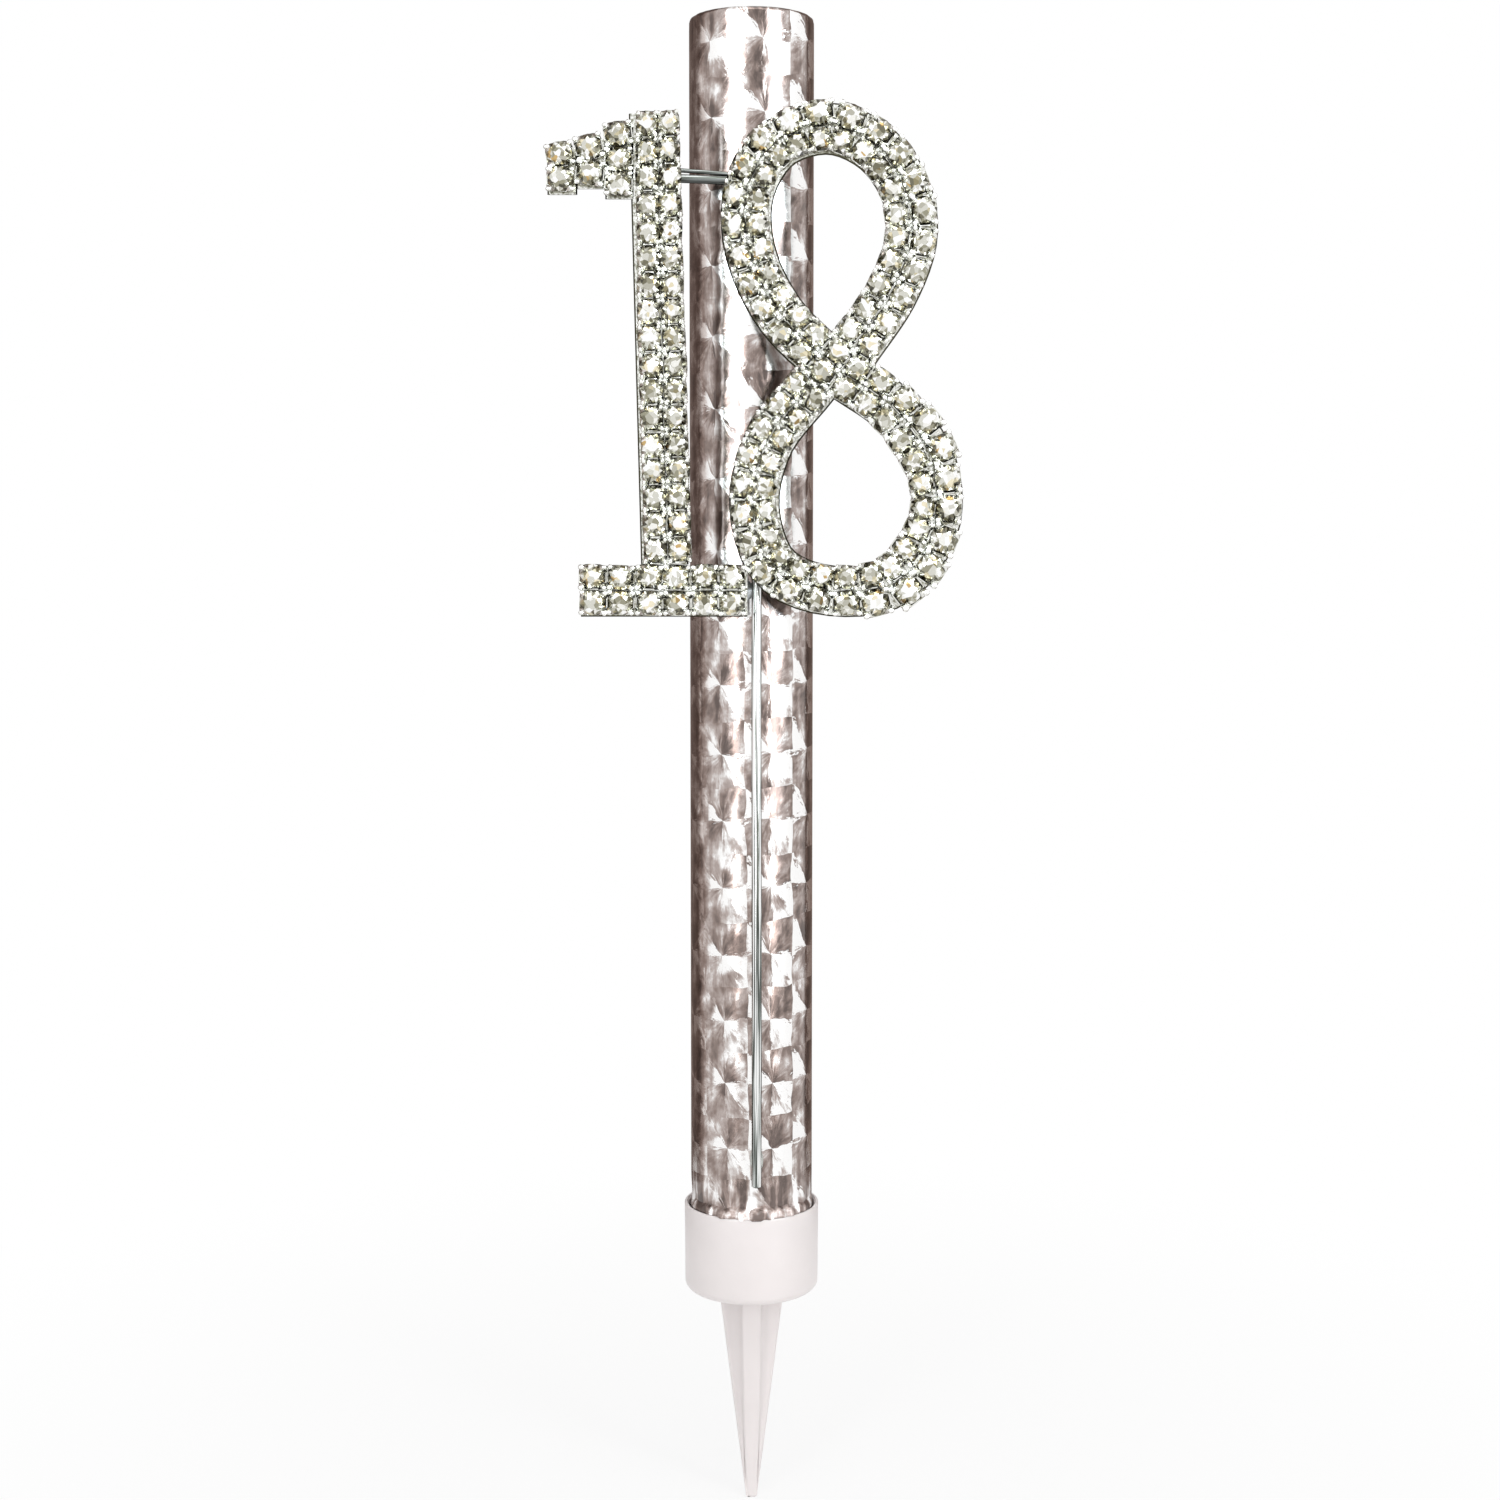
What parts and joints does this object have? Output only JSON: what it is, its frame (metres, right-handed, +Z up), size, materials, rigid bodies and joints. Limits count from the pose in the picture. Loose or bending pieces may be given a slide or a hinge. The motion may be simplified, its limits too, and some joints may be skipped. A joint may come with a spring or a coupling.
{
  "type": "cake fountain",
  "caption": "Foil-wrapped cake fountain tube in a white cup on a spike, with a wire-mounted rhinestone number; the tube lifts out and its fuse folds up.",
  "frame": {"origin": "on the tube's axis, in the plane of the cup's underside, where the spike starts", "axes": "+Z up the tube, -Y towards the front, where the number faces, +X to the right of the number as it is read"},
  "size_m": [0.0485, 0.0204, 0.1799],
  "materials": {
    "holder_plastic": "satin white moulded plastic",
    "foil": "metallised holographic wrapping paper, polished, prismatic mosaic",
    "card": "raw wound card",
    "clay": "pressed dry clay",
    "charge": null,
    "prime": null,
    "tissue": "matt white sealing paper",
    "fuse": "wound green fuse yarn",
    "wire": "bright drawn steel wire",
    "plate": "stamped steel, plated silver",
    "stones": "silver-plated claw cups with clear faceted stones",
    "solder": "dull soft solder",
    "glue": "clear hot-melt glue"
  },
  "bodies": {
    "holder": {"spike_holder": "holder_plastic"},
    "tube": {"paper_tube": "card", "foil_wrap": "foil", "base_plug": "clay", "lower_wad": "card", "charge": "charge", "prime_disc": "prime", "top_washer": "card", "top_seal": "tissue", "fuse_root": "fuse", "stem_wire": "wire", "bridge_wire": "wire", "one_back_plate": "plate", "eight_back_plate": "plate", "one_flag_strip": "stones", "one_upright_strip": "stones", "one_foot_strip": "stones", "eight_strip": "stones", "solder_stem_eight": "solder", "solder_stem_foot": "solder", "solder_bridge_one": "solder", "solder_bridge_eight": "solder", "glue_dot_upper": "glue", "glue_dot_lower": "glue"},
    "fuse": {"fuse_tip": "fuse"}
  },
  "joints": [
    {"name": "tube_slide", "type": "slide", "parent": "holder", "child": "tube", "axis": [0, 0, 1], "range_m": [0, 0.01]},
    {"name": "fuse_fold", "type": "hinge", "parent": "tube", "child": "fuse", "pos_m": [-0.003, 0, 0.15045], "axis": [0, -1, 0], "range_deg": [0, 90]}
  ]
}
